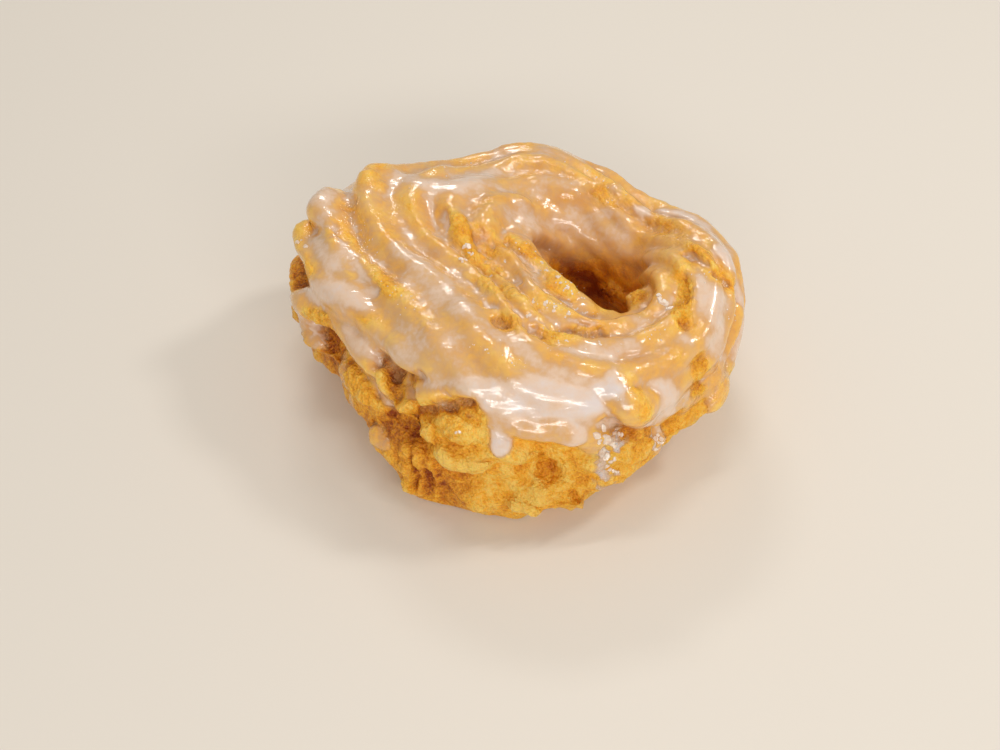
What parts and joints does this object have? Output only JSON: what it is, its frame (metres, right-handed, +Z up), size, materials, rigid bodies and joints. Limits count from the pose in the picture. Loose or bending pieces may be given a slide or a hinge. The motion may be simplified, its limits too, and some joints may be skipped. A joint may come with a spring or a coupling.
{
  "type": "french cruller",
  "caption": "Round fried choux pastry with twisted ridges, a small off-centre hole and a craggy foot, to rest on a plate.",
  "frame": {"origin": "on the table, under the middle of the cruller's plan", "axes": "+Z up; +X to the right and +Y to the back, as the cruller is seen from its front"},
  "size_m": [0.1086, 0.099, 0.046],
  "materials": {
    "cruller": "fried golden choux crust"
  },
  "bodies": {
    "root": {"cruller": "cruller"}
  },
  "joints": []
}
